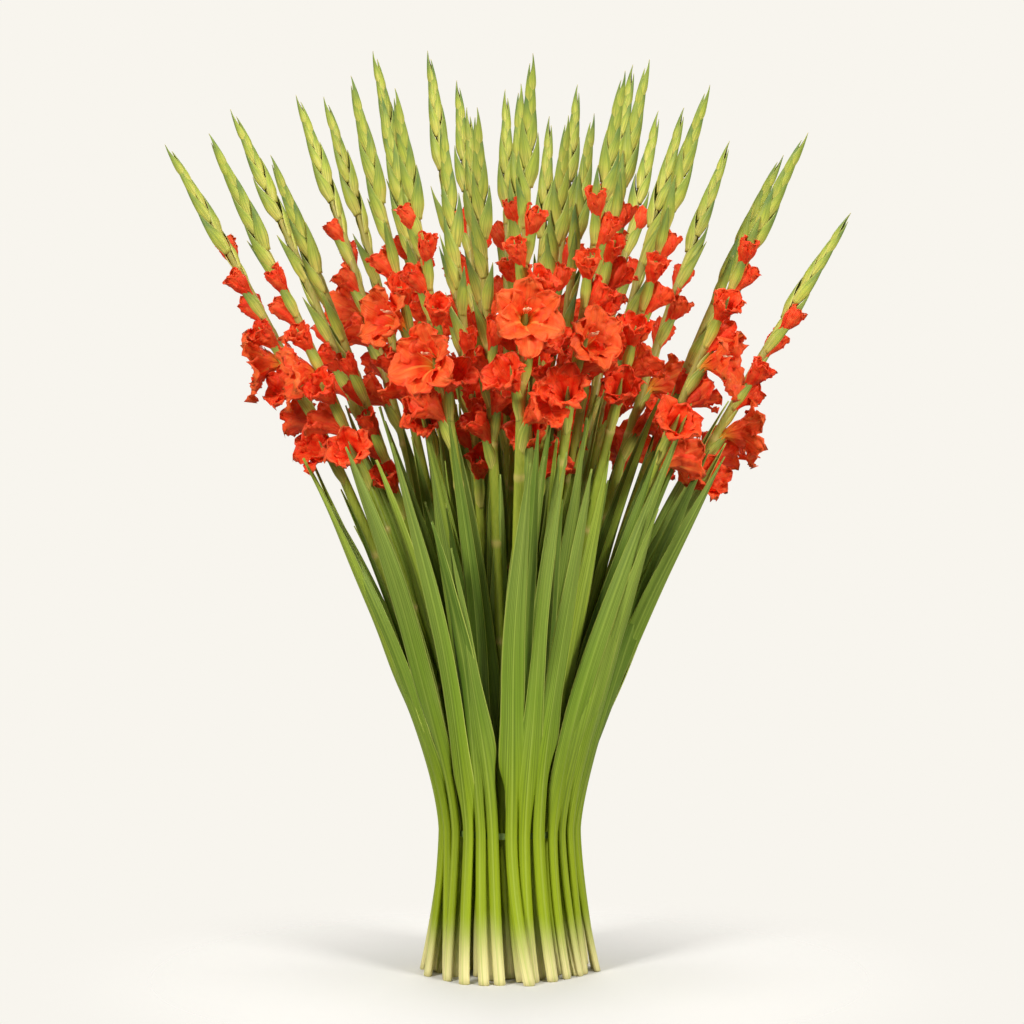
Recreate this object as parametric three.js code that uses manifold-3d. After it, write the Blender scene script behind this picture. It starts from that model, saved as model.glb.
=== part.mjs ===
// A bunch of cut gladioli that stands on its splayed stem ends.
// Millimetres, +Z up. The origin is under the middle of the bunch, on the surface that it stands on.
// Every stalk runs from its cut end through a narrow waist, where a band holds the bunch, and bends
// outwards to the tip of its flower spike.

import * as THREE from 'three';
import { mergeVertices } from 'three/addons/utils/BufferGeometryUtils.js';
import Module from 'manifold-3d';

const wasm = await Module();
wasm.setup();

// ---- Driving dimensions ----

// The whole bunch.
const BUNCH_HEIGHT = 1085; // the tallest tip above the surface
const HEAD_REACH_ACROSS = 400; // the widest tip from the middle, left and right
const HEAD_REACH_DEEP = 290; // the same, front and back
const WAIST_HEIGHT = 165; // where the band holds the stems
const FOOT_FLARE = 0.3; // how much wider the stems stand at the floor than at the waist
const FOOT_TWIST = THREE.MathUtils.degToRad( 9 ); // turn of the cut ends round the bunch
const BEND_BELOW = 1.5; // how the stems leave the waist downwards
const BEND_ABOVE = 1.42; // how they leave it upwards

// One stalk.
const STEM_RADIUS = 7.2; // at the cut end, with the leaf sheath
const RACHIS_RADIUS = 5.2; // between the flowers
const SPIKE_RADIUS = 10.5; // the closed buds, at their widest
const SPIKE_LENGTH = 240; // closed buds, from the tip down
const BLOOM_LENGTH = 110; // flowering stretch under them
const STALK_SIDES = 6;
const WAIST_STATIONS = [ 0, 0.45, 0.9, 1.15 ]; // where its outline has points, as shares of WAIST_HEIGHT
const STEM_STATIONS = [ 0.22, 0.48, 0.74, 1 ]; // the same above them, as shares of the way to the flowers
const SPIKE_SHAPE = [ [ 1, 0.4 ], [ 0.75, 0.72 ], [ 0.3, 0.93 ] ]; // shares of SPIKE_RADIUS and SPIKE_LENGTH

// Flowers.
const BUD_LENGTH = 46; // an opening bud with its green bract
const BUD_RADIUS = 12;
const BUD_MOUTH_RADIUS = 6;
const BUD_WIDEST = 0.6; // how far along it is widest, as a share of its length
const BUD_LEAN = THREE.MathUtils.degToRad( 30 ); // away from the stalk
const BUD_SPREAD = THREE.MathUtils.degToRad( 34 ); // buds alternate left and right by this
const BUD_SIDES = 5;
const BUDS_ON_STALK = 4;
const FIRST_BUD_FROM_TIP = 195;
const BUD_PITCH = 32;
const FLORET_COUNT = 13;
const FLORET_LENGTH = 58; // an open flower, from stalk to petal rim
const FLORET_RADIUS = 35;
const FLORET_THROAT_RADIUS = 17;
const FLORET_TUBE_RADIUS = 6.5;
const FLORET_FOOT_RADIUS = 4;
const FLORET_THROAT = 0.72; // how far along the throat is, as a share of the length
const FLORET_TUBE = 0.35; // the same for the top of the tube
const FLORET_LEAN = THREE.MathUtils.degToRad( 62 );
const FLORET_WALL = 1.6;
const FLORET_RIM = 0.4; // the wall at the petals' edge
const FLORET_INSET = 0.04; // how much further along the inside is, as a share of the length
const FLORET_FROM_TIP = 335; // where the open flower leaves its stalk
const PETALS = 6;
const LOBE_DEPTH = 0.09; // how far the rim draws in between petals

// Leaves.
const LEAF_COUNT = 14;
const LEAF_LOW = 85; // height where a leaf leaves its sheath
const LEAF_LENGTH = 500;
const LEAF_LENGTH_VARIES = 0.1;
const LEAF_WIDTH = 30;
const LEAF_FOOT_SHARE = 0.35; // width at the sheath, as a share of the widest
const LEAF_TIP_SHARE = 0.03; // the same at the tip
const LEAF_STEPS = 9;
const LEAF_THICKNESS = 1.2; // at its edges
const LEAF_KEEL = 1.0; // how much thicker it is along the middle

// The band round the waist.
const BAND_THICKNESS = 1.6;
const BAND_WIDTH = 7;
const BAND_SIDES = 32;

// Clearances.
const STEM_GAP = 1.4; // between two stems at the waist
const CLEARANCE = 0.6; // between pieces that lie against each other

// The spikes' tips from left to right: place across the bunch and height, as shares of
// HEAD_REACH_ACROSS and BUNCH_HEIGHT.
const TIPS = [
	[ - 0.99, 0.881 ], [ - 0.84, 0.881 ], [ - 0.82, 0.926 ], [ - 0.68, 0.864 ], [ - 0.65, 0.955 ],
	[ - 0.54, 0.936 ], [ - 0.44, 0.937 ], [ - 0.41, 1.000 ], [ - 0.37, 0.930 ], [ - 0.31, 0.915 ],
	[ - 0.24, 0.992 ], [ - 0.19, 0.898 ], [ - 0.16, 0.974 ], [ - 0.12, 0.922 ], [ - 0.09, 0.900 ],
	[ - 0.01, 0.955 ], [ 0.03, 0.938 ], [ 0.06, 0.944 ], [ 0.12, 0.917 ], [ 0.16, 0.897 ],
	[ 0.21, 0.965 ], [ 0.24, 0.912 ], [ 0.31, 0.934 ], [ 0.37, 0.977 ], [ 0.39, 0.960 ],
	[ 0.46, 0.938 ], [ 0.51, 0.922 ], [ 0.55, 0.927 ], [ 0.66, 0.895 ], [ 0.78, 0.867 ],
	[ 0.82, 0.879 ], [ 0.99, 0.808 ],
];
const DEPTH_STEP = 0.617; // close to the golden section, so that neighbours spread evenly in depth
const DEPTH_START = 0.52;
const DEPTH_REACH = 0.94;

const UP = new THREE.Vector3( 0, 0, 1 );

// ---- Layout ----

// Places in a disc of radius 1, seen from above: one for each stalk.
function discPlaces() {

	return TIPS.map( ( [ across ], i ) => {

		const room = DEPTH_REACH * Math.sqrt( 1 - across * across );
		const share = ( DEPTH_START + i * DEPTH_STEP ) % 1;
		return new THREE.Vector2( across, room * ( 2 * share - 1 ) );

	} );

}

function closestPair( places ) {

	let closest = Infinity;
	for ( let i = 0; i < places.length; i ++ ) {

		for ( let j = 0; j < i; j ++ ) {

			closest = Math.min( closest, places[ i ].distanceTo( places[ j ] ) );

		}

	}

	return closest;

}

const places = discPlaces();
const waistReach = ( 2 * STEM_RADIUS + STEM_GAP ) / closestPair( places );
const bandInside = ( waistReach + STEM_RADIUS + CLEARANCE ) / Math.cos( Math.PI / BAND_SIDES );
const bandOutside = bandInside + BAND_THICKNESS;

// The middle line of a stalk, from its cut end to its tip.
class StalkCurve extends THREE.Curve {

	constructor( waist, tip ) {

		super();
		this.waist = waist;
		this.tip = tip;

	}

	getPoint( t, target = new THREE.Vector3() ) {

		const { waist, tip } = this;
		const height = t * tip.z;

		if ( height < WAIST_HEIGHT ) {

			const drop = ( 1 - height / WAIST_HEIGHT ) ** BEND_BELOW;
			target.set( waist.x, waist.y, 0 ).multiplyScalar( 1 + FOOT_FLARE * drop );
			return target.applyAxisAngle( UP, FOOT_TWIST * drop ).setZ( height );

		}

		const rise = ( ( height - WAIST_HEIGHT ) / ( tip.z - WAIST_HEIGHT ) ) ** BEND_ABOVE;
		return target.set( waist.x, waist.y, 0 ).lerp( tip, rise ).setZ( height );

	}

}

function label( i ) {

	return String( i + 1 ).padStart( 2, '0' );

}

function makeStalk( place, i ) {

	const [ , height ] = TIPS[ i ];
	const waist = place.clone().multiplyScalar( waistReach );
	const across = place.x * HEAD_REACH_ACROSS;
	const tip = new THREE.Vector3( across, place.y * HEAD_REACH_DEEP, height * BUNCH_HEIGHT );
	const curve = new StalkCurve( waist, tip );
	return {
		label: label( i ),
		curve,
		length: curve.getLength(),
		reach: place.length(),
		angle: Math.atan2( place.y, place.x ),
	};

}

// Point, direction, outward side and sideways direction at a distance along a curve.
function station( { curve, length }, distance ) {

	const share = THREE.MathUtils.clamp( distance / length, 0, 1 );
	const point = curve.getPointAt( share );
	const along = curve.getTangentAt( share );
	const fromMiddle = new THREE.Vector3( point.x, point.y, 0 );
	const side = new THREE.Vector3().crossVectors( along, fromMiddle ).normalize();
	const outward = new THREE.Vector3().crossVectors( side, along );
	return { point, along, outward, side };

}

// The outermost stalk in each of a number of equal sectors, seen from above.
function rimStalks( stalks, count ) {

	const sector = ( stalk ) => Math.floor( ( stalk.angle / Math.PI + 1 ) / 2 * count ) % count;
	const rim = new Map();
	for ( const stalk of stalks ) {

		const held = rim.get( sector( stalk ) );
		if ( ! held || held.reach < stalk.reach ) rim.set( sector( stalk ), stalk );

	}

	return [ ...rim.values() ];

}

// ---- Geometry helpers ----

// One set of shared vertices, with no triangle that has collapsed to a line.
function closed( geometry ) {

	const bare = geometry.clone();
	bare.deleteAttribute( 'normal' );
	bare.deleteAttribute( 'uv' );
	const merged = mergeVertices( bare, 1e-3 );
	const index = merged.index.array;
	const kept = [];
	for ( let i = 0; i < index.length; i += 3 ) {

		const corners = [ index[ i ], index[ i + 1 ], index[ i + 2 ] ];
		if ( new Set( corners ).size === 3 ) kept.push( ...corners );

	}

	merged.setIndex( kept );
	return merged;

}

function eachVertex( geometry, move ) {

	const position = geometry.attributes.position;
	const vertex = new THREE.Vector3();
	for ( let i = 0; i < position.count; i ++ ) {

		vertex.fromBufferAttribute( position, i );
		move( vertex );
		position.setXYZ( i, vertex.x, vertex.y, vertex.z );

	}

	return geometry;

}

function toManifold( geometry ) {

	return new wasm.Manifold( new wasm.Mesh( {
		numProp: 3,
		vertProperties: new Float32Array( geometry.attributes.position.array ),
		triVerts: new Uint32Array( geometry.index.array ),
	} ) );

}

function fromManifold( solid ) {

	const mesh = solid.getMesh();
	const geometry = new THREE.BufferGeometry();
	geometry.setAttribute( 'position', new THREE.BufferAttribute( mesh.vertProperties, 3 ) );
	geometry.setIndex( new THREE.BufferAttribute( mesh.triVerts, 1 ) );
	return geometry;

}

function lathe( profile, sides ) {

	const points = profile.map( ( [ radius, height ] ) => new THREE.Vector2( radius, height ) );
	return closed( new THREE.LatheGeometry( points, sides ) );

}

// ---- Stalks ----

// Radii from the cut end to the tip: sheathed stem, rachis, closed buds.
function stalkProfile( length ) {

	const spikeFoot = length - SPIKE_LENGTH;
	const bloomFoot = spikeFoot - BLOOM_LENGTH;
	const low = WAIST_STATIONS.map( ( share ) => share * WAIST_HEIGHT );
	const high = STEM_STATIONS.map( ( share ) => THREE.MathUtils.lerp( low.at( - 1 ), bloomFoot, share ) );
	const stem = [ ...low, ...high ].map( ( height ) => {

		const radius = THREE.MathUtils.lerp( STEM_RADIUS, RACHIS_RADIUS, height / bloomFoot );
		return [ radius, height ];

	} );
	const spike = SPIKE_SHAPE.map( ( [ wide, high ] ) => {

		return [ wide * SPIKE_RADIUS, spikeFoot + high * SPIKE_LENGTH ];

	} );
	return [ [ 0, 0 ], ...stem, [ RACHIS_RADIUS, spikeFoot ], ...spike, [ 0, length ] ];

}

function bareStalk( stalk ) {

	return eachVertex( lathe( stalkProfile( stalk.length ), STALK_SIDES ), ( vertex ) => {

		const { x: across, y: distance, z: out } = vertex;
		const { point, along, outward, side } = station( stalk, distance );
		vertex.copy( point ).addScaledVector( side, across ).addScaledVector( outward, out );
		if ( distance === 0 ) vertex.addScaledVector( along, - vertex.z / along.z );

	} );

}

// Where a flower leaves its stalk: leaning away from it, turned round it, and started at a distance.
function leaving( stalk, fromTip, lean, turn, start ) {

	const { point, along, outward } = station( stalk, stalk.length - fromTip );
	const away = outward.applyAxisAngle( along, turn );
	const direction = along.multiplyScalar( Math.cos( lean ) ).addScaledVector( away, Math.sin( lean ) );
	const quaternion = new THREE.Quaternion().setFromUnitVectors( new THREE.Vector3( 0, 1, 0 ), direction );
	return { position: point.addScaledVector( direction, start ), quaternion };

}

// An opening bud that leaves the stalk to one side.
function bud( stalk, fromTip, turn ) {

	const profile = [
		[ 0, 0 ], [ BUD_RADIUS, BUD_WIDEST * BUD_LENGTH ], [ BUD_MOUTH_RADIUS, BUD_LENGTH ],
		[ 0, BUD_LENGTH ],
	];
	const { position, quaternion } = leaving( stalk, fromTip, BUD_LEAN, turn, 0 );
	const pose = new THREE.Matrix4().compose( position, quaternion, new THREE.Vector3( 1, 1, 1 ) );
	return lathe( profile, BUD_SIDES ).applyMatrix4( pose );

}

function stalkGeometry( stalk, budCount ) {

	let solid = toManifold( bareStalk( stalk ) );
	for ( let i = 0; i < budCount; i ++ ) {

		const turn = i % 2 ? BUD_SPREAD : - BUD_SPREAD;
		solid = solid.add( toManifold( bud( stalk, FIRST_BUD_FROM_TIP + i * BUD_PITCH, turn ) ) );

	}

	return fromManifold( solid );

}

// ---- Open flowers ----

// A trumpet with six pointed lobes.
function floretGeometry() {

	const profile = [
		[ 0, 0 ],
		[ FLORET_FOOT_RADIUS, 0 ],
		[ FLORET_TUBE_RADIUS, FLORET_TUBE ],
		[ FLORET_THROAT_RADIUS, FLORET_THROAT ],
		[ FLORET_RADIUS, 1 - FLORET_INSET ],
		[ FLORET_RADIUS - FLORET_RIM, 1 ],
		[ FLORET_THROAT_RADIUS - FLORET_WALL, FLORET_THROAT + FLORET_INSET ],
		[ FLORET_TUBE_RADIUS - FLORET_WALL, FLORET_TUBE + FLORET_INSET ],
		[ 0, FLORET_TUBE ],
	];
	const scaled = profile.map( ( [ radius, share ] ) => [ radius, share * FLORET_LENGTH ] );
	return eachVertex( lathe( scaled, 2 * PETALS ), ( vertex ) => {

		const angle = Math.atan2( vertex.x, vertex.z );
		const open = vertex.y / FLORET_LENGTH;
		const lobe = 1 + LOBE_DEPTH * open * ( Math.cos( PETALS * angle ) - 1 );
		vertex.set( vertex.x * lobe, vertex.y, vertex.z * lobe );

	} );

}

// ---- Leaves ----

// A sword-shaped blade: widest at the middle, keeled along it, pointed at the top.
function leafGeometry( leaf ) {

	const blade = new THREE.BoxGeometry( 1, 1, 1, 2, LEAF_STEPS, 1 );
	return eachVertex( closed( blade ), ( vertex ) => {

		const share = vertex.y + 0.5;
		const swell = THREE.MathUtils.smoothstep( share, 0, 0.5 );
		const taper = 1 + LEAF_TIP_SHARE - share ** 3;
		const width = LEAF_WIDTH * THREE.MathUtils.lerp( LEAF_FOOT_SHARE, 1, swell ) * taper;
		const thickness = LEAF_THICKNESS + ( vertex.x === 0 ? LEAF_KEEL * ( 1 - share ) : 0 );
		const { point, outward, side } = station( leaf, leaf.start + share * leaf.size );
		const [ across, out ] = [ vertex.x * width, vertex.z * thickness ];
		vertex.copy( point ).addScaledVector( side, across ).addScaledVector( outward, out );

	} );

}

// Leaf blades stand round the bunch at even angles, outside the band, and lean out with the stalks.
function makeLeaf( i ) {

	const angle = ( i + 0.5 ) / LEAF_COUNT * 2 * Math.PI;
	const reach = bandOutside + CLEARANCE + ( LEAF_THICKNESS + LEAF_KEEL ) / 2;
	const lowestTip = Math.min( ...TIPS.map( ( [ , height ] ) => height ) ) * BUNCH_HEIGHT;
	const direction = new THREE.Vector2( Math.cos( angle ), Math.sin( angle ) );
	const waist = direction.clone().multiplyScalar( reach );
	const across = direction.x * HEAD_REACH_ACROSS;
	const tip = new THREE.Vector3( across, direction.y * HEAD_REACH_DEEP, lowestTip );
	const curve = new StalkCurve( waist, tip );
	const size = LEAF_LENGTH * ( 1 + LEAF_LENGTH_VARIES * Math.cos( 2.4 * i ) );
	return { label: label( i ), curve, length: curve.getLength(), start: LEAF_LOW, size };

}

// ---- The band ----

function bandGeometry() {

	const profile = [
		[ bandInside, 0 ], [ bandOutside, 0 ], [ bandOutside, BAND_WIDTH ], [ bandInside, BAND_WIDTH ],
		[ bandInside, 0 ],
	];
	return lathe( profile, BAND_SIDES );

}

// ---- The bunch ----

function mesh( name, geometry, colour, roughness ) {

	const material = new THREE.MeshStandardMaterial( { color: colour, roughness, metalness: 0 } );
	const made = new THREE.Mesh( geometry, material );
	made.name = name;
	return made;

}

const bunch = new THREE.Group();
const stalks = places.map( makeStalk );
const flowering = rimStalks( stalks, FLORET_COUNT );

for ( const stalk of stalks ) {

	const budCount = flowering.includes( stalk ) ? BUDS_ON_STALK - 1 : BUDS_ON_STALK;
	bunch.add( mesh( `gladiolus_${ stalk.label }`, stalkGeometry( stalk, budCount ), 0x9bb04c, 0.55 ) );

}

for ( const stalk of flowering ) {

	const foot = FLORET_FOOT_RADIUS * Math.cos( FLORET_LEAN );
	const start = ( RACHIS_RADIUS + CLEARANCE + foot ) / Math.sin( FLORET_LEAN );
	const { position, quaternion } = leaving( stalk, FLORET_FROM_TIP, FLORET_LEAN, 0, start );
	const floret = mesh( `floret_${ stalk.label }`, floretGeometry(), 0xe23d20, 0.5 );
	floret.position.copy( position );
	floret.quaternion.copy( quaternion );
	bunch.add( floret );

}

for ( let i = 0; i < LEAF_COUNT; i ++ ) {

	const leaf = makeLeaf( i );
	bunch.add( mesh( `leaf_${ leaf.label }`, leafGeometry( leaf ), 0x6c9042, 0.5 ) );

}

const band = mesh( 'band', bandGeometry(), 0x8aa346, 0.6 );
band.rotation.x = Math.PI / 2;
band.position.z = WAIST_HEIGHT - BAND_WIDTH / 2;
bunch.add( band );

// The middle of the bunch's outline goes over the origin.
const middle = new THREE.Box3().setFromObject( bunch, true ).getCenter( new THREE.Vector3() );
bunch.position.set( - middle.x, - middle.y, 0 );

const group = new THREE.Group();
group.add( bunch );

export default group;
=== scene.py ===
import math

import bpy
import numpy as np
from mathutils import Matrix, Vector


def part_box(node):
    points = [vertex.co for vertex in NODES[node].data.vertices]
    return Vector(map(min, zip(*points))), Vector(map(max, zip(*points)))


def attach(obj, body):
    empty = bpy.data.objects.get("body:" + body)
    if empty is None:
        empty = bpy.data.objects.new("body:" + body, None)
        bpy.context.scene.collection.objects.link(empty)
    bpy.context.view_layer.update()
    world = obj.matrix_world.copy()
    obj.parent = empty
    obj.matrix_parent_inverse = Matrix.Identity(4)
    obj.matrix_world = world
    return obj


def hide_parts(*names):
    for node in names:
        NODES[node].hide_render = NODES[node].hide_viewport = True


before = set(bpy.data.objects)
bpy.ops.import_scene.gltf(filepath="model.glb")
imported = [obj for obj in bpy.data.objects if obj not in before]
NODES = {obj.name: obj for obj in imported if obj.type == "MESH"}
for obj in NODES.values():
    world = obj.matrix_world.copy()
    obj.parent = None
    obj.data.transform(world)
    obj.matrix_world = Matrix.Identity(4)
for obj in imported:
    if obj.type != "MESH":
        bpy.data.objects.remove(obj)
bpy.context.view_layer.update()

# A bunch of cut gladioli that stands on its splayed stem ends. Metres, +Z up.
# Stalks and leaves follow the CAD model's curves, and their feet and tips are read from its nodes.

# ---- Sizes shared with the CAD model ----

WAIST_HEIGHT = 0.165
FOOT_FLARE = 0.3  # how much wider the stems stand at the floor than at the waist
FOOT_TWIST = math.radians(9)
BEND_BELOW = 1.5  # how the stems leave the waist downwards
BEND_ABOVE = 1.42  # how they leave it upwards
HEAD_REACH_ACROSS = 0.400
HEAD_REACH_DEEP = 0.290
STEM_RADIUS = 0.0072
SPIKE_LENGTH = 0.240
OPEN_FLOWER_PLACE = 0.335  # from the stalk's tip down to the open flower

# ---- Sizes of the visual model alone ----

RACHIS_RADIUS = 0.0050
STEM_SIDES = 14
STEM_STEP = 0.004
STEM_SQUASH = 0.93  # a stem is a little flatter than round
STEM_STOPS = 0.03  # below the spike's tip, inside the topmost buds
RING_SWELL = 0.16  # how much thicker a stem is at its node rings
RING_HALF_HEIGHT = 0.0035
NODE_RINGS = 5
RACHIS_TAPER = 0.72  # how much thinner the rachis gets
RACHIS_TAPER_LENGTH = 0.22  # from the tip down
SHEATH_RADIUS = STEM_RADIUS + 0.0009
SHEATH_DEPTH = 0.55  # a leaf sheath's depth as a share of its width
SHEATH_LAYER = 0.0006  # from one sheath to the next outside it, or from a shoot to its sheath

CLOSED_RANK = math.radians(78)  # closed buds stand this far to each side of the spike's flat face
FLORET_SPREAD = math.radians(56)  # opening ones stand this far to each side of straight out
FIRST_FLORET = 0.190  # from the tip down
LAST_BUD_GAP = 0.006  # at least this far above the first floret
FLORET_PITCH = 0.036
FLORETS = 8  # at most, and one fewer on some stalks
LONGEST_FLORET = 0.14
FIRST_COLOUR = (0.18, 0.32)  # from the tip down to where petals start to show
FIRST_COLOUR_FLOWERING = (0.16, 0.22)  # the same, on a stalk with an open flower
OPENS_OVER = 0.33  # from there down to where a floret would be fully open
STAMENS_SHOW = 0.8  # the stage from which a flower is open enough

PETAL_THICKNESS = 0.0005
LEAF_THICKNESS = 0.0009
FLOOR_GAP = 0.0005  # holds a blade's middle surface up by half its thickness

# ---- Small maths ----


def unit(v):
    return v / np.maximum(np.linalg.norm(v, axis=-1, keepdims=True), 1e-12)


def smooth(x, low=0.0, high=1.0):
    x = np.clip((x - low) / (high - low), 0, 1)
    return x * x * (3 - 2 * x)


def lerp(a, b, share):
    return a + (b - a) * share


def turned(v, axis, angle):
    """v turned round a unit axis."""
    cosine, sine = math.cos(angle), math.sin(angle)
    return v * cosine + np.cross(axis, v) * sine + axis * (v @ axis) * (1 - cosine)


def vertices(name):
    """A CAD node's points."""
    mesh = NODES[name].data
    points = np.empty(len(mesh.vertices) * 3)
    mesh.vertices.foreach_get("co", points)
    return points.reshape(-1, 3)


# ---- Paths ----

BAND_LOW, BAND_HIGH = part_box("band")
AXIS = np.array([(BAND_LOW.x + BAND_HIGH.x) / 2, (BAND_LOW.y + BAND_HIGH.y) / 2, 0])
BAND_REACH = (BAND_HIGH.x - BAND_LOW.x) / 2
PATH_SAMPLES = 400
ON_FLOOR = 1e-4  # CAD points below this height are a stalk's cut end


def bunch_curve(waist, tip):
    """Points from the floor through the waist to a tip. Every stalk and leaf runs like this."""
    heights = np.linspace(0, tip[2], PATH_SAMPLES)
    drop = np.clip(1 - heights / WAIST_HEIGHT, 0, 1) ** BEND_BELOW
    rise = np.clip((heights - WAIST_HEIGHT) / (tip[2] - WAIST_HEIGHT), 0, 1) ** BEND_ABOVE
    turn, spread = FOOT_TWIST * drop, 1 + FOOT_FLARE * drop
    x = spread * (waist[0] * np.cos(turn) - waist[1] * np.sin(turn))
    y = spread * (waist[0] * np.sin(turn) + waist[1] * np.cos(turn))
    x += rise * (tip[0] - AXIS[0] - waist[0])
    y += rise * (tip[1] - AXIS[1] - waist[1])
    return np.stack([x + AXIS[0], y + AXIS[1], heights], axis=1)


class Path:
    """The middle line of a stalk or leaf, measured from its foot."""

    def __init__(self, points):
        self.points = points
        steps = np.linalg.norm(np.diff(points, axis=0), axis=1)
        self.marks = np.concatenate([[0], np.cumsum(steps)])
        self.length = self.marks[-1]
        self.directions = unit(np.gradient(points, axis=0))

    def read(self, rows, distance):
        return np.stack([np.interp(distance, self.marks, rows[:, i]) for i in range(3)], -1)

    def at(self, distance):
        """Point, direction, outward side and sideways direction at distances from the foot."""
        distance = np.asarray(distance, float)
        point = self.read(self.points, distance)
        along = unit(self.read(self.directions, distance))
        point = point + along * np.maximum(distance - self.length, 0)[..., None]
        side = unit(np.cross(along, point * [1, 1, 0] - AXIS))
        return point, along, np.cross(side, along), side


def stalk_path(label):
    points = vertices(f"gladiolus_{label}")
    foot = points[points[:, 2] < ON_FLOOR].mean(axis=0)
    tip = points[points[:, 2].argmax()]
    x, y = (foot - AXIS)[:2] / (1 + FOOT_FLARE)
    back = -FOOT_TWIST
    waist = (x * math.cos(back) - y * math.sin(back), x * math.sin(back) + y * math.cos(back))
    return Path(bunch_curve(waist, tip))


# ---- Meshes from grids of points ----


class Patches:
    """Collects grids of points into one mesh.

    grow holds each point's coordinates for the materials: how far along it is, how far across from
    -1 to 1, and a value for its tint."""

    def __init__(self):
        self.points, self.grow, self.faces, self.count = [], [], [], 0

    def add(self, points, grow, wrap=False, caps=False):
        rows, columns = points.shape[:2]
        index = self.count + np.arange(rows * columns).reshape(rows, columns)
        ends = [index[0, ::-1].tolist(), index[-1].tolist()] if caps else []
        if wrap:
            index = np.concatenate([index, index[:, :1]], axis=1)
        quads = np.stack([index[:-1, :-1], index[:-1, 1:], index[1:, 1:], index[1:, :-1]], axis=-1)
        self.faces += quads.reshape(-1, 4).tolist() + ends
        self.points.append(points.reshape(-1, 3))
        grow = np.stack([np.broadcast_to(value, (rows, columns)) for value in grow], -1)
        self.grow.append(grow.ravel())
        self.count += rows * columns

    def make(self, name, material, slot_name, thickness=0.0):
        mesh = bpy.data.meshes.new(name)
        mesh.from_pydata(np.concatenate(self.points).tolist(), [], self.faces)
        values = mesh.attributes.new("grow", "FLOAT_VECTOR", "POINT")
        values.data.foreach_set("vector", np.concatenate(self.grow).astype(np.float32))
        mesh.shade_smooth()
        mesh.materials.append(material)
        piece = bpy.data.objects.new(name, mesh)
        bpy.context.scene.collection.objects.link(piece)
        if thickness:
            solid = piece.modifiers.new("thickness", "SOLIDIFY")
            solid.thickness = thickness
            solid.offset = 0
        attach(piece, "root")
        return piece


# ---- Materials ----

TINTS_APART = 37.0  # how far apart in the noise blades of different tints lie


def linear(value):
    """A display value of 0..255 as linear light."""
    return ((value / 255 + 0.055) / 1.055) ** 2.4 if value > 10 else value / 255 / 12.92


def srgb(red, green, blue):
    return linear(red), linear(green), linear(blue)


class Shader:
    """Short calls for building one procedural material round a Principled BSDF."""

    def __init__(self, name):
        self.material = bpy.data.materials.new(name)
        self.material.use_nodes = True
        self.tree = self.material.node_tree
        self.surface = self.tree.nodes["Principled BSDF"]
        grow = self.node("ShaderNodeAttribute")
        grow.attribute_name = "grow"
        self.along, self.across, self.tint = self.split(grow.outputs["Vector"])
        self.off_middle = self.maths("ABSOLUTE", self.across)

    def node(self, kind, **settings):
        made = self.tree.nodes.new(kind)
        for key, value in settings.items():
            setattr(made, key, value)
        return made

    def link(self, source, socket):
        if hasattr(source, "is_output"):
            self.tree.links.new(source, socket)
        else:
            socket.default_value = source

    def split(self, vector):
        made = self.node("ShaderNodeSeparateXYZ")
        self.link(vector, made.inputs[0])
        return made.outputs

    def maths(self, operation, *values):
        made = self.node("ShaderNodeMath", operation=operation)
        for value, socket in zip(values, made.inputs):
            self.link(value, socket)
        return made.outputs[0]

    def times(self, first, second):
        return self.maths("MULTIPLY", first, second)

    def ramp(self, value, low, high, out_low=0.0, out_high=1.0):
        """value from low..high mapped smoothly to out_low..out_high."""
        made = self.node("ShaderNodeMapRange", interpolation_type="SMOOTHSTEP")
        for source, socket in zip((value, low, high, out_low, out_high), made.inputs):
            self.link(source, socket)
        return made.outputs[0]

    def scaled(self, x=1.0, y=1.0):
        """The piece's own coordinates, along and across, stretched."""
        made = self.node("ShaderNodeCombineXYZ")
        self.link(self.times(self.along, x), made.inputs[0])
        self.link(self.times(self.across, y), made.inputs[1])
        self.link(self.times(self.tint, TINTS_APART), made.inputs[2])
        return made.outputs[0]

    def place(self, stretch=(1.0, 1.0, 1.0)):
        """The place in the bunch, in metres."""
        made = self.node("ShaderNodeMapping")
        self.link(self.node("ShaderNodeTexCoord").outputs["Object"], made.inputs["Vector"])
        made.inputs["Scale"].default_value = stretch
        return made.outputs[0]

    def noise(self, vector, scale, detail=3.0):
        made = self.node("ShaderNodeTexNoise")
        self.link(vector, made.inputs["Vector"])
        made.inputs["Scale"].default_value = scale
        made.inputs["Detail"].default_value = detail
        return made.outputs["Fac"]

    def mix(self, factor, first, second):
        made = self.node("ShaderNodeMix", data_type="RGBA")
        self.link(factor, made.inputs["Factor"])
        for source, socket in ((first, made.inputs[6]), (second, made.inputs[7])):
            self.link(source if hasattr(source, "is_output") else (*source, 1), socket)
        return made.outputs[2]

    def finish(self, colour, roughness, bump, strength, distance, **constants):
        self.link(colour, self.surface.inputs["Base Color"])
        self.link(roughness, self.surface.inputs["Roughness"])
        made = self.node("ShaderNodeBump")
        made.inputs["Strength"].default_value = strength
        made.inputs["Distance"].default_value = distance
        self.link(bump, made.inputs["Height"])
        self.link(made.outputs[0], self.surface.inputs["Normal"])
        for key, value in constants.items():
            self.surface.inputs[key.replace("_", " ")].default_value = value
        return self.material


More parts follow.
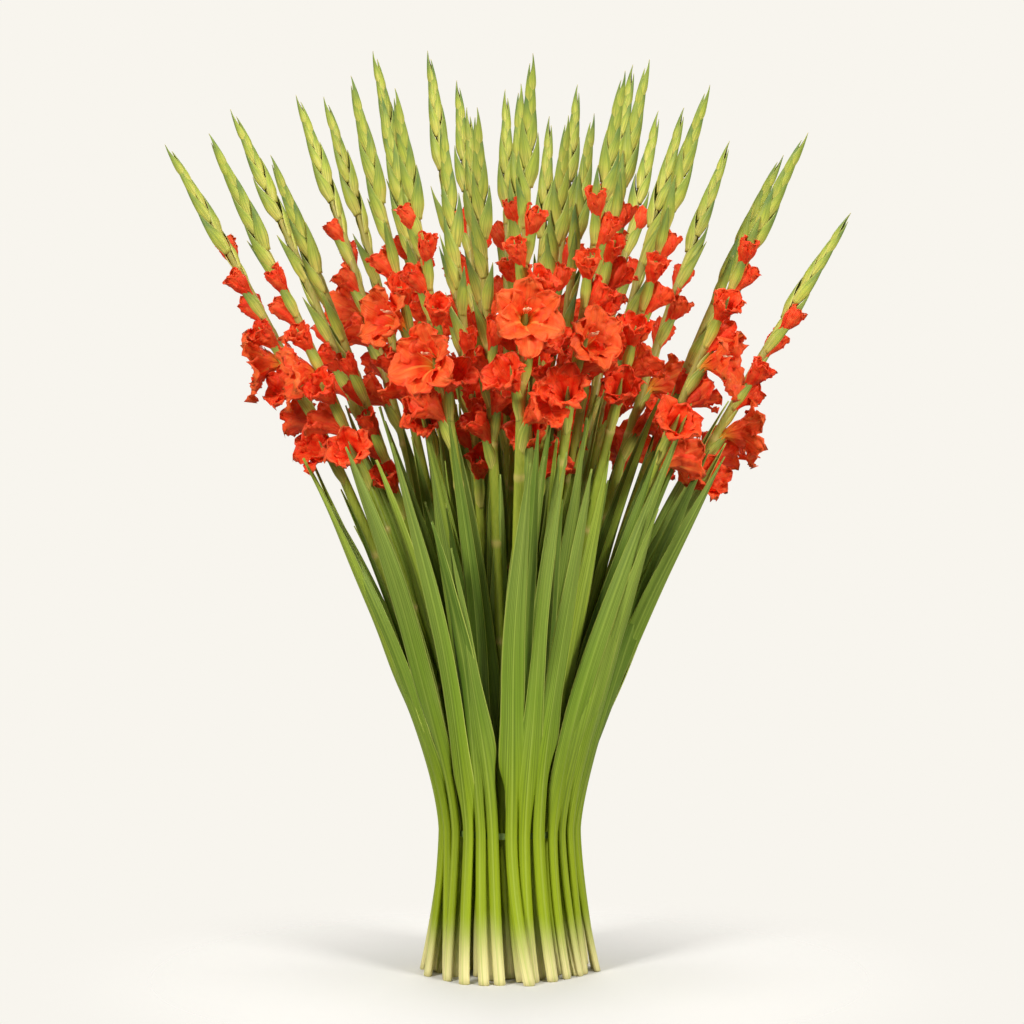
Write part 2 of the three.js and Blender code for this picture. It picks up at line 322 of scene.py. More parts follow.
def petal_material():
    """tint is the floret's stage: 0 closed, 1 open."""
    s = Shader("petal")
    cloud = s.noise(s.scaled(1.5, 0.8), 2.0)
    colour = s.mix(s.ramp(cloud, 0.3, 0.7), srgb(246, 49, 16), srgb(255, 91, 40))
    orange = s.times(s.ramp(s.tint, 0.64, 1.0, 0.12, 0.9), s.ramp(s.along, 0.5, 0.9))
    orange = s.times(orange, s.ramp(cloud, 0.35, 0.6, 0.45, 1.0))
    colour = s.mix(orange, colour, srgb(255, 110, 48))
    throat = s.times(s.ramp(s.along, 0.34, 0.62, 1.0, 0.0), s.ramp(s.tint, 0.6, 0.95, 0.0, 0.85))
    colour = s.mix(throat, colour, srgb(240, 168, 44))
    rib = s.times(s.ramp(s.off_middle, 0.0, 0.14, 1.0, 0.0), s.ramp(s.along, 0.5, 0.92, 1.0, 0.0))
    rib = s.times(rib, s.ramp(s.tint, 0.6, 0.95, 0.0, 0.7))
    colour = s.mix(rib, colour, srgb(255, 190, 90))
    closed = s.times(s.ramp(s.along, 0.25, 0.5, 0.7, 0.0), s.ramp(s.tint, 0.5, 0.9, 1.0, 0.0))
    colour = s.mix(closed, colour, srgb(214, 92, 44))
    veins = s.noise(s.scaled(2.0, 6.0), 1.8, 4.0)
    colour = s.mix(s.ramp(veins, 0.42, 0.7, 0.0, 0.4), colour, srgb(216, 24, 8))
    edge = s.ramp(s.off_middle, 0.82, 1.0, 0.0, 0.35)
    colour = s.mix(edge, colour, srgb(255, 84, 52))
    rough = s.ramp(veins, 0.3, 0.7, 0.5, 0.66)
    return s.finish(colour, rough, veins, 0.6, 0.0010, Subsurface_Weight=0.25,
                    Subsurface_Radius=(0.008, 0.002, 0.001), Subsurface_Scale=1.0,
                    Specular_IOR_Level=0.2)


def bract_material():
    """Yellow-green at the foot, sage above, and brown at the very tip."""
    s = Shader("bract")
    cloud = s.noise(s.scaled(1.4, 0.7), 2.0)
    colour = s.mix(s.ramp(s.along, 0.05, 0.5), srgb(212, 202, 98), srgb(174, 182, 64))
    sage = s.times(s.ramp(s.along, 0.25, 0.75), s.ramp(s.tint, 0.0, 1.0, 0.55, 1.0))
    colour = s.mix(sage, colour, srgb(100, 126, 62))
    colour = s.mix(s.ramp(cloud, 0.45, 0.7, 0.0, 0.6), colour, srgb(176, 184, 62))
    ribs = s.noise(s.scaled(0.6, 5.0), 2.4)
    colour = s.mix(s.ramp(ribs, 0.4, 0.66, 0.0, 0.5), colour, srgb(96, 122, 44))
    colour = s.mix(s.ramp(s.along, 0.92, 1.0, 0.0, 0.6), colour, srgb(186, 150, 84))
    colour = s.mix(s.ramp(s.off_middle, 0.9, 1.0, 0.0, 0.6), colour, srgb(226, 216, 130))
    rough = s.ramp(ribs, 0.3, 0.7, 0.45, 0.6)
    return s.finish(colour, rough, ribs, 0.45, 0.0006, Subsurface_Weight=0.08,
                    Subsurface_Radius=(0.003, 0.004, 0.001), Specular_IOR_Level=0.3)


def cut_end_colours(s, colour):
    """Cream at the cut ends and lime above them, over a leaf or stem colour."""
    height = s.split(s.place())[2]
    uneven = s.times(s.noise(s.place((30.0, 30.0, 4.0)), 1.0), 0.06)
    height = s.maths("ADD", height, uneven)
    colour = s.mix(s.ramp(height, 0.13, 0.36, 0.9, 0.0), colour, srgb(147, 164, 10))
    return s.mix(s.ramp(height, 0.035, 0.11, 0.95, 0.0), colour, srgb(228, 216, 150))


def leaf_material():
    """Lime at the sheath and grey-green above, with fine veins and pale margins. The grey-green
    upper part is also lightened as painted light, where the upper leaves are lit.
    """
    s = Shader("leaf")
    cloud = s.noise(s.scaled(4.0, 0.7), 1.5)
    colour = s.mix(s.ramp(s.along, 0.25, 0.6), srgb(120, 144, 18), srgb(122, 150, 36))
    # Paler grey-green up the blade: partly the leaf's own colour, partly painted light where the
    # upper leaves catch the light.
    colour = s.mix(s.ramp(s.along, 0.5, 0.95, 0.0, 0.9), colour, srgb(146, 162, 74))
    colour = s.mix(s.ramp(s.tint, 0.4, 1.0, 0.0, 0.85), colour, srgb(82, 110, 24))
    colour = s.mix(s.ramp(s.tint, 0.0, 0.3, 0.7, 0.0), colour, srgb(172, 188, 56))
    colour = s.mix(s.ramp(cloud, 0.35, 0.7, 0.0, 0.5), colour, srgb(138, 158, 60))
    colour = cut_end_colours(s, colour)
    veins = s.noise(s.scaled(0.7, 5.5), 2.4, 5.0)
    shown = s.ramp(s.along, 0.1, 0.45, 0.35, 1.0)
    dark = s.times(s.ramp(veins, 0.4, 0.66, 0.0, 0.6), shown)
    light = s.times(s.ramp(veins, 0.26, 0.42, 0.25, 0.0), shown)
    colour = s.mix(dark, colour, srgb(66, 92, 10))
    colour = s.mix(light, colour, srgb(170, 188, 80))
    colour = s.mix(s.ramp(s.off_middle, 0.9, 0.98, 0.0, 0.7), colour, srgb(192, 202, 92))
    colour = s.mix(s.ramp(s.off_middle, 0.0, 0.08, 0.45, 0.0), colour, srgb(168, 184, 76))
    rough = s.ramp(veins, 0.3, 0.7, 0.42, 0.58)
    return s.finish(colour, rough, veins, 0.6, 0.0007, Subsurface_Weight=0.05,
                    Subsurface_Radius=(0.002, 0.003, 0.001), Specular_IOR_Level=0.3)


def stem_material():
    """along is the distance from the cut end in metres, and across marks the node rings."""
    s = Shader("stem")
    ribs = s.noise(s.place((1.0, 1.0, 0.03)), 520.0)
    colour = s.mix(s.ramp(s.along, 0.2, 0.5), srgb(150, 172, 24), srgb(164, 174, 58))
    colour = s.mix(s.ramp(s.tint, 0.2, 1.0, 0.0, 0.5), colour, srgb(118, 144, 30))
    colour = s.mix(s.ramp(s.along, 0.55, 0.75, 0.0, 0.6), colour, srgb(184, 154, 92))
    colour = cut_end_colours(s, colour)
    colour = s.mix(s.ramp(ribs, 0.35, 0.7, 0.0, 0.4), colour, srgb(112, 136, 20))
    colour = s.mix(s.times(s.across, 0.75), colour, srgb(214, 190, 110))
    rough = s.ramp(ribs, 0.3, 0.7, 0.36, 0.52)
    return s.finish(colour, rough, ribs, 0.35, 0.0004, Subsurface_Weight=0.08,
                    Subsurface_Radius=(0.004, 0.004, 0.001), Specular_IOR_Level=0.35)


def stamen_material():
    s = Shader("stamen")
    grain = s.noise(s.place(), 900.0)
    colour = s.mix(s.ramp(s.along, 0.72, 0.78), srgb(255, 170, 110), srgb(236, 196, 150))
    colour = s.mix(s.ramp(grain, 0.4, 0.7, 0.0, 0.3), colour, srgb(250, 226, 200))
    return s.finish(colour, s.ramp(grain, 0.3, 0.7, 0.45, 0.65), grain, 0.4, 0.0003)


def band_material():
    s = Shader("band")
    grain = s.noise(s.place(), 600.0)
    colour = s.mix(s.ramp(grain, 0.35, 0.7), srgb(92, 114, 44), srgb(110, 132, 58))
    return s.finish(colour, s.ramp(grain, 0.3, 0.7, 0.5, 0.7), grain, 0.3, 0.0003)


# ---- Petals, bracts and stamens, each about its own +Z axis ----

# Along a petal, bract, stamen or leaf, b runs from 0 to 1. Across it, t runs from -1 to 1.
PETAL_VARIES = (0.9, 1.08)  # the sizes of one floret's petals differ by factors between these
PETALS, STAMENS = 6, 3
TUBE_ROWS, PETAL_ROWS, PETAL_COLUMNS = 4, 19, 15
BRACT_ROWS, BRACT_COLUMNS = 16, 11
STAMEN_ROWS, STAMEN_SIDES = 16, 8
AXIS_POINTS = 71  # along the bent axis of a bud or floret
TUBE_FOOT, TUBE_MOUTH = 0.0022, 0.0044
OUTER_PETAL = (0.92, 0.0008)  # factor on its width, and how far outside the inner ones it stands
INNER_PETAL = (1.16, 0.0)


def petal_line(stage, turn, rng):
    """A petal's middle line, which follows the flower's tube and then bends outwards.

    Returns each row's distance from the foot, b, distance from the axis, height and lean."""
    tube_length = 0.033 + 0.006 * stage
    length = (0.029 + 0.022 * stage) * rng.uniform(*PETAL_VARIES)
    tube_rows = np.linspace(0, tube_length, TUBE_ROWS + 1)[:-1]
    reach = np.concatenate([tube_rows, np.linspace(tube_length, tube_length + length, PETAL_ROWS)])
    b = np.clip((reach - tube_length) / length, 0, 1)
    hood = max(math.cos(turn), 0)
    bent = -4 + 84 * stage**1.1 - 20 * stage * hood + rng.uniform(-16, 16) * (0.3 + stage)
    lean = lerp(math.radians(5 + 19 * stage) * (b > 0), math.radians(bent), b**1.2)
    steps = np.diff(reach, prepend=0)
    radial = lerp(TUBE_FOOT, TUBE_MOUTH, np.clip(reach / tube_length, 0, 1))
    radial = radial + np.cumsum(np.sin(lean) * steps)
    bulge = 0.0035 * smooth(b, 0, 0.5) * (1 - stage)
    return reach, b, np.maximum(radial + bulge, 0.0011), np.cumsum(np.cos(lean) * steps), lean


def ruffles(stage, b, t, rng):
    """How much a petal's margin is notched, and how far its surface stands off its smooth shape."""
    phase = rng.uniform(0, 6.28, 6)
    notch = np.sin(b * rng.uniform(14, 20) + 3 * t + phase[0])
    notch = notch + 0.6 * np.sin(b * 43 + phase[1] + 5 * t)
    margin = np.abs(t) ** 1.5 * smooth(b, 0.1, 0.7)
    end = smooth(b, 0.72, 1.0)
    wave = np.sin(rng.uniform(13, 18) * b + 2.1 * t + phase[2])
    crimp = np.sin(rng.uniform(38, 50) * b - 3.0 * t + phase[3]) + np.sin(17 * t + phase[4]) * end
    rumple = np.sin(6 * b + 4 * t + phase[4]) * np.sin(5 * b - 3 * t + phase[5])
    out = (0.0014 + 0.0034 * stage) * margin * wave
    out = out + (0.0008 + 0.0015 * stage) * np.maximum(margin, end) * crimp
    return 0.075 * notch, out + (0.0010 + 0.0026 * stage) * rumple * b


def petal(stage, turn, outer, rng):
    """One of a floret's six petals, at an opening stage of 0 (closed) to 1.

    turn is its place round the axis, 0 being the side next to the stalk's tip."""
    reach, b, radial, axial, lean = (row[:, None] for row in petal_line(stage, turn, rng))
    t = np.linspace(-1, 1, PETAL_COLUMNS)
    broader, outside = OUTER_PETAL if outer else INNER_PETAL
    radial = radial + outside
    widest = (0.0092 + 0.0112 * stage) * rng.uniform(*PETAL_VARIES) * broader
    half = 1.2 * widest * b**0.62 * np.maximum(1 - b**2.8, 0) ** 0.62
    half = half + 0.6 * radial * (1 - b) ** 1.5 + 0.0004
    curve = np.maximum(radial, half * (0.66 + 0.42 * stage))
    notch, out = ruffles(stage, b, t, rng)
    swing = half * (1 + notch) * t / curve
    out = out + curve * (np.cos(swing) - 1) - 0.0008 * (1 - t * t) * stage
    x = radial + np.cos(lean) * out
    y = curve * np.sin(swing)
    z = axial - np.sin(lean) * out
    twist = turn + (1 - stage) ** 2 * 1.1 * b
    cosine, sine = np.cos(twist), np.sin(twist)
    points = np.stack([x * cosine - y * sine, x * sine + y * cosine, z], -1)
    return points, reach / reach[-1], t


def bract(length, width, clasp, stand_off):
    """A pointed sheath with its spine on the -X side, away from the stalk.

    clasp is how far it reaches round to each side, in radians. stand_off is how much of its width
    the tip keeps from the axis."""
    b = np.linspace(0, 1, BRACT_ROWS)[:, None]
    t = np.linspace(-1, 1, BRACT_COLUMNS)
    belly = 0.56 + 0.44 * smooth(b, 0, 0.34)
    radius = width * belly * np.maximum(1 - b**1.7, 0) ** 0.96 + 0.0003
    swing = clasp * (1 - 0.5 * smooth(b, 0.25, 1.0)) * t
    keel = 1 + 0.2 * (1 - np.abs(t)) ** 2
    away = stand_off * np.maximum(width - radius, 0) * smooth(b, 0.1, 0.6)
    x = -radius * np.cos(swing) * keel - away
    y = radius * np.sin(swing) * 0.92
    z = np.broadcast_to(b * length, x.shape)
    return np.stack([x, y, z], -1), b, t


def tube(line, along, radii, sides, start, squash=1.0):
    """Rings of points round a line. start is the direction of the first point of each ring."""
    side = unit(np.cross(along, start))
    front = np.cross(side, along) * squash
    angle = np.linspace(0, 2 * math.pi, sides, endpoint=False)[None, :, None]
    ring = np.cos(angle) * front[:, None] + np.sin(angle) * side[:, None]
    return line[:, None] + ring * np.asarray(radii)[:, None, None]


def lower_to_floor(ring, along):
    """Slides a stem's lowest ring along the stem, so that its cut end is flat on the floor."""
    ring -= along * (ring[:, 2:] / along[2])


def stamen(k):
    """One of three stamens that curve together under the upper petals, or the style when k is 3."""
    b = np.linspace(0, 1, STAMEN_ROWS)
    if k == STAMENS:
        reach, spread, head = 0.046, 0.0, smooth(b, 0.86, 1) * 0.0008
    else:
        reach, spread, head = 0.040, 0.0034 * (k - 1), smooth(b, 0.72, 0.76) * 0.0009
    line = np.stack([0.007 * np.sin(1.9 * b), spread * b, 0.026 + reach * b], -1)
    along = unit(np.gradient(line, axis=0))
    radius = (0.0007 + head) * (1 - 0.6 * smooth(b, 0.94, 1.0))
    start = np.broadcast_to([1.0, 0, 0], along.shape)
    return tube(line, along, radius, STAMEN_SIDES, start), b[:, None], 0.0


class Seat:
    """Where a bud or floret leaves its stalk, and the axis that it bends along.

    It leans away from the stalk by the angle first at its foot and last at its end."""

    def __init__(self, foot, up, away, first, last, bend):
        self.foot, self.up, self.away = foot, up, away
        self.side = np.cross(up, away)
        self.heights = np.linspace(0, LONGEST_FLORET, AXIS_POINTS)
        self.angle = lerp(first, last, smooth(self.heights, *bend))
        step = self.heights[1]
        self.rise = np.concatenate([[0], np.cumsum(np.cos(self.angle[:-1]) * step)])
        self.run = np.concatenate([[0], np.cumsum(np.sin(self.angle[:-1]) * step)])

    def moved(self, points):
        """Points about a +Z axis moved onto this axis. Their +X side turns to the stalk."""
        z = points[..., 2]
        angle = np.interp(z, self.heights, self.angle)[..., None]
        rise = np.interp(z, self.heights, self.rise)[..., None]
        run = np.interp(z, self.heights, self.run)[..., None]
        inner = self.up * np.sin(angle) - self.away * np.cos(angle)
        across = inner * points[..., :1] + self.side * points[..., 1:2]
        return self.foot + self.up * rise + self.away * run + across


# ---- One stalk ----


class Stalk:
    """One gladiolus: its path, its random draws and where its spike's flat face looks."""

    def __init__(self, label):
        self.label = label
        self.path = stalk_path(label)
        self.rng = np.random.default_rng(int(label))
        tip = self.path.points[-1] - AXIS
        front_or_back = 0.12 if tip[1] > 0 else -0.12  # the nearer of the two
        self.face = unit(np.array([0.2 * tip[0], tip[1] + front_or_back, 0.0]))

    def seats(self, from_tip, rank, *bends):
        """Seats at one place of the stalk, for each (first lean, last lean, where it bends) given.

        Leans are in degrees. Closed buds stand in two ranks, and opening ones turn outwards."""
        point, along, outward, _ = self.path.at(self.path.length - from_tip)
        face = unit(self.face - along * (self.face @ along))
        to_outside = math.atan2(np.cross(face, outward) @ along, face @ outward)
        closed = rank * CLOSED_RANK
        opening = to_outside + rank * FLORET_SPREAD
        turn = lerp(closed, opening, smooth(from_tip, 0.12, 0.24)) + self.rng.uniform(-0.15, 0.15)
        away = turned(face, along, turn)
        return [Seat(point, along, away, math.radians(first), math.radians(last), bend)
                for first, last, bend in bends]


def add_stem(patches, stalk):
    """The sheathed stem, its node rings and the rachis, with a flat cut end on the floor."""
    path, rng = stalk.path, stalk.rng
    top = path.length - STEM_STOPS
    distance = np.concatenate([[0, 0.0012], np.arange(STEM_STEP, top, STEM_STEP), [top]])
    point, along, outward, _ = path.at(distance)
    up_stem = np.clip(distance / (path.length - SPIKE_LENGTH), 0, 1)
    radius = lerp(STEM_RADIUS, RACHIS_RADIUS, up_stem)
    taper = RACHIS_TAPER * smooth(distance, path.length - RACHIS_TAPER_LENGTH, top)
    radius = radius * (1 - taper)
    radius[0] *= 0.93  # the cut edge is rounded off
    rings = rng.uniform(0.22, 0.3) + rng.uniform(0.085, 0.12) * np.arange(NODE_RINGS)
    ring = sum(np.exp(-(((distance - place) / RING_HALF_HEIGHT) ** 2)) for place in rings)
    points = tube(point, along, radius * (1 + RING_SWELL * ring), STEM_SIDES, outward, STEM_SQUASH)
    lower_to_floor(points[0], along[0])
    grow = (distance[:, None], ring[:, None], rng.uniform())
    patches.add(points, grow, wrap=True, caps=True)


def add_closed_buds(bracts, stalk):
    """Overlapping bracts in two ranks, from the spike's tip down. Returns the rank of the next.

    They get longer and wider down the spike, and lean further out."""
    rng = stalk.rng
    tip_at, rank = 0.0, 1
    while True:
        length = 0.046 + 0.17 * tip_at
        from_tip = tip_at + length
        if from_tip > FIRST_FLORET - LAST_BUD_GAP:
            return rank
        low = smooth(from_tip, 0.04, 0.16)
        lean = lerp(1.5, 8.0, low) * rng.uniform(0.8, 1.2)
        seat, = stalk.seats(from_tip, rank, (lean, lean * 0.45, (0, length)))
        width, stand_off = lerp(0.0046, 0.0084, low), lerp(0.0, 0.4, low)
        points, b, t = bract(length, width, clasp=2.4, stand_off=stand_off)
        bracts.add(seat.moved(points), (b, t, rng.uniform()))
        tip_at += 0.0105 + 0.115 * tip_at
        rank = -rank


def add_floret(petals, bracts, stamens, stalk, from_tip, rank, stage):
    """One floret with an outer bract and a smaller one that faces the stalk.

    A stage of 0 or less shows bracts only."""
    rng = stalk.rng
    flower_bend = (9, 17 + 48 * max(stage, 0), (0.016, 0.060))
    sheath_bend = (8, 13, (0, 0.05))
    flower, sheath = stalk.seats(from_tip, rank, flower_bend, sheath_bend)
    if stage > 0:
        for k in range(PETALS):
            points, b, t = petal(stage, 2 * math.pi * k / PETALS, k % 2 == 1, rng)
            petals.add(flower.moved(points), (b, t, stage))
    length = rng.uniform(0.056, 0.068)
    points, b, t = bract(length, width=0.0074, clasp=2.3, stand_off=0.5)
    bracts.add(sheath.moved(points), (b, t, rng.uniform(0.3, 1.0)))
    points, b, t = bract(length * 0.8, width=0.0060, clasp=1.7, stand_off=0.7)
    bracts.add(sheath.moved(points * [-0.9, 1, 1]), (b, t, rng.uniform(0.2, 1.0)))
    if stage > STAMENS_SHOW:
        for k in range(STAMENS + 1):
            points, b, t = stamen(k)
            stamens.add(flower.moved(points), (b, t, 0.0), wrap=True, caps=True)


def grow_florets(stalk, materials):
    """The spike's bracts and florets, with an open flower in place of the CAD model's."""
    rng, label = stalk.rng, stalk.label
    flowering = f"floret_{label}" in NODES
    bracts, petals, stamens = Patches(), Patches(), Patches()
    rank = add_closed_buds(bracts, stalk)
    first_colour = rng.uniform(*(FIRST_COLOUR_FLOWERING if flowering else FIRST_COLOUR))
    for k in range(rng.integers(FLORETS - 1, FLORETS + 1)):
        place = FIRST_FLORET + k * FLORET_PITCH
        rank = -rank
        if flowering and abs(place - OPEN_FLOWER_PLACE) < FLORET_PITCH / 2:
            continue
        stage = min((place - first_colour) / OPENS_OVER, 0.85) + rng.uniform(-0.08, 0.08)
        add_floret(petals, bracts, stamens, stalk, place + rng.uniform(-0.004, 0.004), rank, stage)
    if flowering:
        flower = Patches()
        place = OPEN_FLOWER_PLACE + rng.uniform(-0.018, 0.018)
        add_floret(flower, bracts, stamens, stalk, place, 0, rng.uniform(0.84, 1.04))
        piece = flower.make(f"open_flower_{label}", materials["petal"], "petal", PETAL_THICKNESS)
        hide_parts(f"floret_{label}")
    bracts.make(f"bracts_{label}", materials["bract"], "stalk", PETAL_THICKNESS)
    petals.make(f"petals_{label}", materials["petal"], "petal", PETAL_THICKNESS)
    if stamens.count:
        stamens.make(f"stamens_{label}", materials["stamen"], "petal")


# ---- Leaves ----

BLADE_ROWS, BLADE_COLUMNS = 80, 13
BLADE_START = 0.0008  # along its path
SHOOT_LENGTH = 0.2
SHOOT_ROWS, SHOOT_SIDES = 24, 12
RIM_PIECES = 4  # the blades between the outer ones are shared out over these
INNER_LEAVES = 4  # for each stalk
INNER_WRAP = 1.4  # an inner sheath's half angle
OUTER_SEED, RIM_SEED, INNER_SEED = 100, 150, 200


def ripple(b, slowest, fastest, rng):
    return np.sin(b * rng.uniform(slowest, fastest) + rng.uniform(0, 6))


def blade(path, size, width, rng, wrap, sheath, drift, lift):
    """A sword-shaped blade along a path from the floor, with a sheath round a stem at its foot.

    wrap is the sheath's half angle and sheath its radius. drift moves the blade's upper part
    sideways. lift holds how far the foot and the upper part stand outwards of the path."""
    b = np.linspace(0, 1, BLADE_ROWS)
    t = np.linspace(-1, 1, BLADE_COLUMNS)
    point, _, outward, side = path.at(BLADE_START + b * size)
    height = point[:, 2]
    # facing is the turn that would bring the blade's flat side square to the front.
    facing = np.unwrap(np.arctan2(outward[:, 0], side[:, 0]), period=math.pi)
    facing -= math.pi * round(facing[-1] / math.pi)
    b, height, facing = b[:, None], height[:, None], facing[:, None]

    # opened is 0 in the closed sheath and 1 in the flat blade.
    opened = smooth(height, rng.uniform(0.13, 0.22), rng.uniform(0.30, 0.46))
    half = lerp(wrap * sheath, width / 2, opened) * np.maximum(1 - b**4.6, 0) ** 1.1 + 0.0003
    curve = np.maximum(lerp(sheath, 0.05, opened**1.5), half / wrap)
    swing = half * t / curve
    tilt = (0.82 * facing + rng.uniform(-0.6, 0.6)) * smooth(height, 0.22, 0.45)
    free = smooth(b, 0.3, 0.7)
    sway = 0.004 * ripple(b, 3, 7, rng) * free
    bow = 0.004 * ripple(b, 3, 6, rng) * free
    wave = 0.0009 * ripple(b, 18, 30, rng) * t * opened
    keel = 0.0026 * (1 - np.abs(t)) * opened
    flat = curve * np.sin(swing)
    deep = SHEATH_DEPTH * curve * (np.cos(swing) - 1) + keel + wave
    across = sway + drift * b**2.2 + flat * np.cos(tilt) - deep * np.sin(tilt)
    out = bow + lerp(*lift, smooth(b, 0.05, 0.5)) + flat * np.sin(tilt) + deep * np.cos(tilt)
    points = point[:, None] + side[:, None] * across[..., None] + outward[:, None] * out[..., None]
    points[..., 2] = np.maximum(points[..., 2], FLOOR_GAP)
    return points, (b, t, rng.uniform())


def rim_path(turn, tip_height, rng):
    """The path of a blade outside the band, and its sheath's radius. turn is its place round it."""
    angle = 2 * math.pi * (turn + rng.uniform(-0.006, 0.006))
    direction = np.array([math.cos(angle), math.sin(angle)])
    sheath = rng.uniform(0.0052, 0.0076)
    reach = BAND_REACH + 2 * SHEATH_DEPTH * sheath + rng.uniform(0.0004, 0.0024)
    tip = AXIS + [direction[0] * HEAD_REACH_ACROSS, direction[1] * HEAD_REACH_DEEP, tip_height]
    points = bunch_curve(direction * reach, tip)
    foot_shift = -0.008 * direction + rng.uniform(-0.0075, 0.0075, 2)
    points[:, :2] += foot_shift * np.clip(1 - points[:, 2:] / WAIST_HEIGHT, 0, 1) ** BEND_BELOW
    return Path(points), sheath


def add_rim_blade(blades, shoots, path, sheath, size, width, drift, rng):
    """A blade outside the band, on a shoot of its own that stands on the floor."""
    blades.add(*blade(path, size, width, rng, math.pi, sheath, drift, (0, 0)))
    distance = np.linspace(0, SHOOT_LENGTH, SHOOT_ROWS)
    point, along, outward, _ = path.at(distance)
    radius = (sheath - SHEATH_LAYER) * (1 - 0.7 * smooth(distance, 0.12, SHOOT_LENGTH))
    middle = point - outward * sheath * SHEATH_DEPTH
    shoot = tube(middle, along, radius, SHOOT_SIDES, outward, SHEATH_DEPTH)
    lower_to_floor(shoot[0], along[0])
    shoots.add(shoot, (distance[:, None], 0.0, rng.uniform()), wrap=True, caps=True)


def grow_rim_leaves(names, tip_height, materials):
    """The outer blades, which replace their CAD solids, and a blade between each two of them."""
    shoots = Patches()
    for index, name in enumerate(names):
        rng = np.random.default_rng(OUTER_SEED + index)
        drift, width = rng.uniform(-0.02, 0.02), rng.uniform(0.024, 0.033)
        path, sheath = rim_path((index + 0.5) / len(names), tip_height, rng)
        size = np.interp(vertices(name)[:, 2].max(), path.points[:, 2], path.marks)
        blades = Patches()
        add_rim_blade(blades, shoots, path, sheath, size, width, drift, rng)
        new_name = name.replace("leaf", "outer_leaf")
        piece = blades.make(new_name, materials["leaf"], "leaf", LEAF_THICKNESS)
        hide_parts(name)
    for piece_index in range(RIM_PIECES):
        rng = np.random.default_rng(RIM_SEED + piece_index)
        blades = Patches()
        for index in range(piece_index, len(names), RIM_PIECES):
            drift = rng.uniform(-0.09, 0.09)
            size, width = rng.uniform(0.48, 0.64), rng.uniform(0.012, 0.028)
            path, sheath = rim_path(index / len(names), tip_height, rng)
            add_rim_blade(blades, shoots, path, sheath, size, width, drift, rng)
        name = f"rim_leaves_{piece_index + 1}"
        blades.make(name, materials["leaf"], "leaf", LEAF_THICKNESS)
    shoots.make("leaf_shoots", materials["stem"], "stalk")


def grow_inner_leaves(name, stalks, materials):
    """The blades that stand between the stalks."""
    blades = Patches()
    for stalk in stalks:
        rng = np.random.default_rng(INNER_SEED + int(stalk.label))
        for k in range(INNER_LEAVES):
            sheath = SHEATH_RADIUS + SHEATH_LAYER * k
            place_in_row = (INNER_LEAVES - 1) / 2 - k
            upper_lift = (STEM_RADIUS + 0.002) * place_in_row + rng.uniform(-0.006, 0.008)
            size, width = rng.uniform(0.54, 0.71), rng.uniform(0.014, 0.032)
            drift, lift = rng.uniform(-0.05, 0.05), (sheath, upper_lift)
            blades.add(*blade(stalk.path, size, width, rng, INNER_WRAP, sheath, drift, lift))
    blades.make(name, materials["leaf"], "leaf", LEAF_THICKNESS)


# ---- Camera, light and floor ----

CAMERA_PLACE, CAMERA_AIM = (0.003, -3.3, 0.62), (0.003, 0, 0.532)
LIGHTS_AIM = (0, 0, 0.55)
BACKDROP = srgb(248, 245, 238)
FLOOR = srgb(229, 227, 223)


def add_aimed(data, place, target):
    """A camera or light at a place, turned to a target."""
    thing = bpy.data.objects.new(data.name, data)
    bpy.context.scene.collection.objects.link(thing)
    thing.location = place
    thing.rotation_euler = (Vector(target) - thing.location).to_track_quat("-Z", "Y").to_euler()
    return thing


def add_camera():
    data = bpy.data.cameras.new("camera")
    data.lens = 101.0
    data.clip_end = 100
    bpy.context.scene.camera = add_aimed(data, CAMERA_PLACE, CAMERA_AIM)


def add_light(name, place, size, power):
    data = bpy.data.lights.new(name, "AREA")
    data.size = size
    data.energy = power
    add_aimed(data, place, LIGHTS_AIM)


def glow_material():
    """The pale backdrop."""
    material = bpy.data.materials.new("backdrop")
    material.use_nodes = True
    tree = material.node_tree
    tree.nodes.clear()
    glow = tree.nodes.new("ShaderNodeEmission")
    glow.inputs["Color"].default_value = (*BACKDROP, 1)
    output = tree.nodes.new("ShaderNodeOutputMaterial")
    tree.links.new(glow.outputs[0], output.inputs[0])
    return material


def floor_material():
    """Pale and matt, and fading into the backdrop away from the bunch."""
    material = bpy.data.materials.new("floor")
    material.use_nodes = True
    tree = material.node_tree
    place = tree.nodes.new("ShaderNodeTexCoord")
    distance = tree.nodes.new("ShaderNodeVectorMath")
    distance.operation = "LENGTH"
    fade = tree.nodes.new("ShaderNodeMapRange")
    fade.interpolation_type = "SMOOTHERSTEP"
    for key, value in (("From Min", 0.12), ("From Max", 0.6), ("To Min", 1.0), ("To Max", 0.0)):
        fade.inputs[key].default_value = value
    surface = tree.nodes["Principled BSDF"]
    surface.inputs["Base Color"].default_value = (*FLOOR, 1)
    surface.inputs["Roughness"].default_value = 0.95
    surface.inputs["Specular IOR Level"].default_value = 0.1
    tree.links.new(place.outputs["Object"], distance.inputs[0])
    tree.links.new(distance.outputs["Value"], fade.inputs["Value"])
    tree.links.new(fade.outputs[0], surface.inputs["Alpha"])
    return material


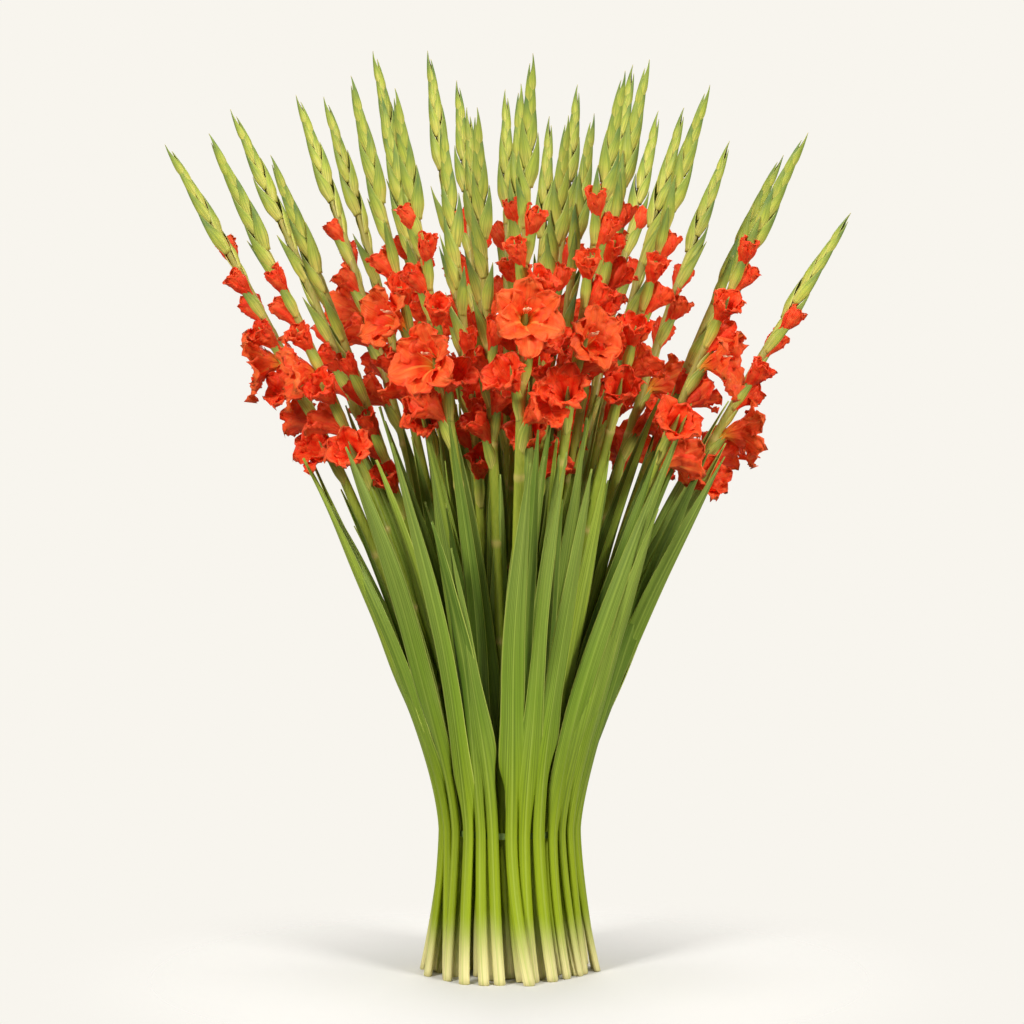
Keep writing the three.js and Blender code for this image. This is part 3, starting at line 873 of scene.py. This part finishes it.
def add_lights():
    """Soft studio light from the front, above and behind, over a weak pale world."""
    scene = bpy.context.scene
    scene.view_settings.view_transform = "Standard"
    world = bpy.data.worlds.new("studio")
    world.use_nodes = True
    background = world.node_tree.nodes["Background"]
    background.inputs["Color"].default_value = (*BACKDROP, 1)
    background.inputs["Strength"].default_value = 0.30
    scene.world = world
    add_light("key", (-2.1, -2.6, 2.1), 0.8, 104)
    add_light("fill", (2.3, -2.4, 1.9), 0.9, 92)
    add_light("top", (0.0, 0.2, 3.2), 1.4, 34)
    add_light("rim", (0.0, 2.5, 2.3), 1.8, 30)


def add_backdrop_and_floor():
    """A sphere that only the camera sees, and a disc that takes the shadows."""
    bpy.ops.mesh.primitive_uv_sphere_add(radius=12, segments=48, ring_count=24)
    backdrop = bpy.context.object
    backdrop.name = "backdrop"
    backdrop.data.materials.append(glow_material())
    backdrop.visible_diffuse = False
    backdrop.visible_glossy = False
    backdrop.visible_shadow = False
    backdrop.visible_transmission = False
    bpy.ops.mesh.primitive_circle_add(radius=1.0, vertices=96, fill_type="TRIFAN")
    floor = bpy.context.object
    floor.name = "floor"
    floor.data.materials.append(floor_material())


# ---- The bunch ----

STALKS_IN_PIECE = 4

add_camera()
add_lights()
add_backdrop_and_floor()
materials = {
    "petal": petal_material(),
    "bract": bract_material(),
    "leaf": leaf_material(),
    "stem": stem_material(),
    "stamen": stamen_material(),
}
stalks = [Stalk(name.split("_")[1]) for name in sorted(NODES) if name.startswith("gladiolus")]
for first in range(0, len(stalks), STALKS_IN_PIECE):
    group = stalks[first:first + STALKS_IN_PIECE]
    span = f"{group[0].label}_to_{group[-1].label}"
    stems = Patches()
    for stalk in group:
        add_stem(stems, stalk)
    piece = stems.make(f"stems_{span}", materials["stem"], "stalk")
    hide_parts(*(f"gladiolus_{stalk.label}" for stalk in group))
    grow_inner_leaves(f"inner_leaves_{span}", group, materials)
for stalk in stalks:
    grow_florets(stalk, materials)
leaf_names = sorted(name for name in NODES if name.startswith("leaf"))
leaf_tip = min(stalk.path.points[-1, 2] for stalk in stalks)
grow_rim_leaves(leaf_names, leaf_tip, materials)
NODES["band"].data.materials.clear()
NODES["band"].data.materials.append(band_material())
